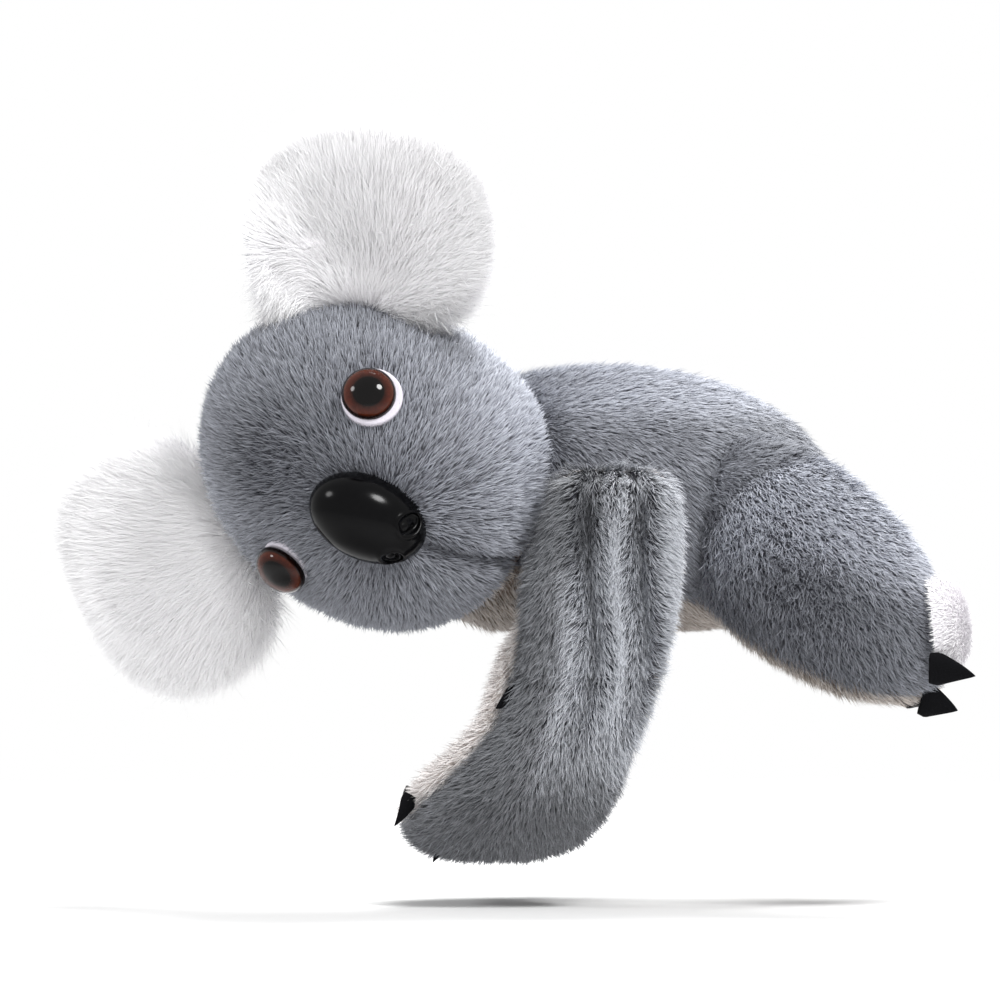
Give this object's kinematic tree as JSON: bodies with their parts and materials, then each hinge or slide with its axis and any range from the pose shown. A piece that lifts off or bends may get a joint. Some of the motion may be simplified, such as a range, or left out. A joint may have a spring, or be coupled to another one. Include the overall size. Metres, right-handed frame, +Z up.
{
  "type": "plush slap bracelet",
  "caption": "Stuffed koala whose long front limbs hide a snap band: they curl round a wrist to hold on and unroll straight to come off.",
  "frame": {"origin": "centre of the space that the curled arms close round, under the belly, where the wrist passes", "axes": "+X along the wrist from the head towards the rump, +Y across the wrist to the toy's right side, +Z up from the wrist through the toy's back"},
  "size_m": [0.2553, 0.1244, 0.2098],
  "materials": {
    "plush": "short dense grey plush, paler at the tips",
    "inner_plush": "short cream plush",
    "ear_pile": "long white pile",
    "foot_pile": "smooth white short pile",
    "stuffing": "polyester fibre fill",
    "felt": "stiff black felt",
    "ring_felt": "white felt",
    "nose_plastic": "polished black moulding",
    "eye_plastic": "clear domed front over amber with a black pupil",
    "washer_plastic": "natural moulded plastic",
    "band_steel": "thin spring steel strip"
  },
  "bodies": {
    "torso": {"body_back": "plush", "head_cover": "plush", "left_ear_back": "plush", "right_ear_back": "plush", "left_leg_outer": "plush", "right_leg_outer": "plush", "belly_panel": "inner_plush", "throat_patch": "inner_plush", "left_leg_inner": "inner_plush", "right_leg_inner": "inner_plush", "left_ear_front": "ear_pile", "right_ear_front": "ear_pile", "left_leg_foot_pad": "foot_pile", "right_leg_foot_pad": "foot_pile", "body_stuffing": "stuffing", "head_stuffing": "stuffing", "left_leg_stuffing": "stuffing", "right_leg_stuffing": "stuffing", "left_leg_claw_1": "felt", "left_leg_claw_2": "felt", "left_leg_claw_3": "felt", "right_leg_claw_1": "felt", "right_leg_claw_2": "felt", "right_leg_claw_3": "felt", "left_eye_ring": "ring_felt", "right_eye_ring": "ring_felt", "nose": "nose_plastic", "left_eye": "eye_plastic", "right_eye": "eye_plastic", "left_eye_washer": "washer_plastic", "right_eye_washer": "washer_plastic", "nose_washer": "washer_plastic", "slap_band_centre": "band_steel"},
    "left_arm_upper": {"left_arm_upper_cover": "plush", "left_arm_upper_lining": "inner_plush", "left_arm_upper_band": "band_steel", "left_arm_claw_1": "felt"},
    "left_arm_lower": {"left_arm_lower_cover": "plush", "left_arm_lower_lining": "inner_plush", "left_arm_lower_band": "band_steel"},
    "left_arm_paw": {"left_arm_paw_cover": "plush", "left_arm_paw_lining": "inner_plush", "left_arm_paw_band": "band_steel", "left_arm_claw_2": "felt", "left_arm_claw_3": "felt"},
    "right_arm_upper": {"right_arm_upper_cover": "plush", "right_arm_upper_lining": "inner_plush", "right_arm_upper_band": "band_steel", "right_arm_claw_1": "felt"},
    "right_arm_lower": {"right_arm_lower_cover": "plush", "right_arm_lower_lining": "inner_plush", "right_arm_lower_band": "band_steel"},
    "right_arm_paw": {"right_arm_paw_cover": "plush", "right_arm_paw_lining": "inner_plush", "right_arm_paw_band": "band_steel", "right_arm_claw_2": "felt", "right_arm_claw_3": "felt"}
  },
  "joints": [
    {"name": "left_shoulder_unwrap", "type": "hinge", "parent": "torso", "child": "left_arm_upper", "pos_m": [0.01, -0.0383, 0.069], "axis": [-1, 0, 0], "range_deg": [0, 96]},
    {"name": "left_elbow_uncurl", "type": "hinge", "parent": "left_arm_upper", "child": "left_arm_lower", "pos_m": [-0.0084, -0.0439, -0.00903], "axis": [-1, 0, 0], "range_deg": [0, 24]},
    {"name": "left_paw_uncurl", "type": "hinge", "parent": "left_arm_lower", "child": "left_arm_paw", "pos_m": [-0.017, -0.02922, -0.03122], "axis": [-1, 0, 0], "range_deg": [0, 36]},
    {"name": "right_shoulder_unwrap", "type": "hinge", "parent": "torso", "child": "right_arm_upper", "pos_m": [0.01, 0.0383, 0.069], "axis": [1, 0, 0], "range_deg": [0, 96]},
    {"name": "right_elbow_uncurl", "type": "hinge", "parent": "right_arm_upper", "child": "right_arm_lower", "pos_m": [-0.0084, 0.0439, -0.00903], "axis": [1, 0, 0], "range_deg": [0, 24]},
    {"name": "right_paw_uncurl", "type": "hinge", "parent": "right_arm_lower", "child": "right_arm_paw", "pos_m": [-0.017, 0.02922, -0.03122], "axis": [1, 0, 0], "range_deg": [0, 36]}
  ],
  "couplings": [
    {"joint": "left_elbow_uncurl", "follows": "left_shoulder_unwrap", "ratio": 0.25},
    {"joint": "left_paw_uncurl", "follows": "left_shoulder_unwrap", "ratio": 0.375},
    {"joint": "right_elbow_uncurl", "follows": "right_shoulder_unwrap", "ratio": 0.25},
    {"joint": "right_paw_uncurl", "follows": "right_shoulder_unwrap", "ratio": 0.375}
  ]
}
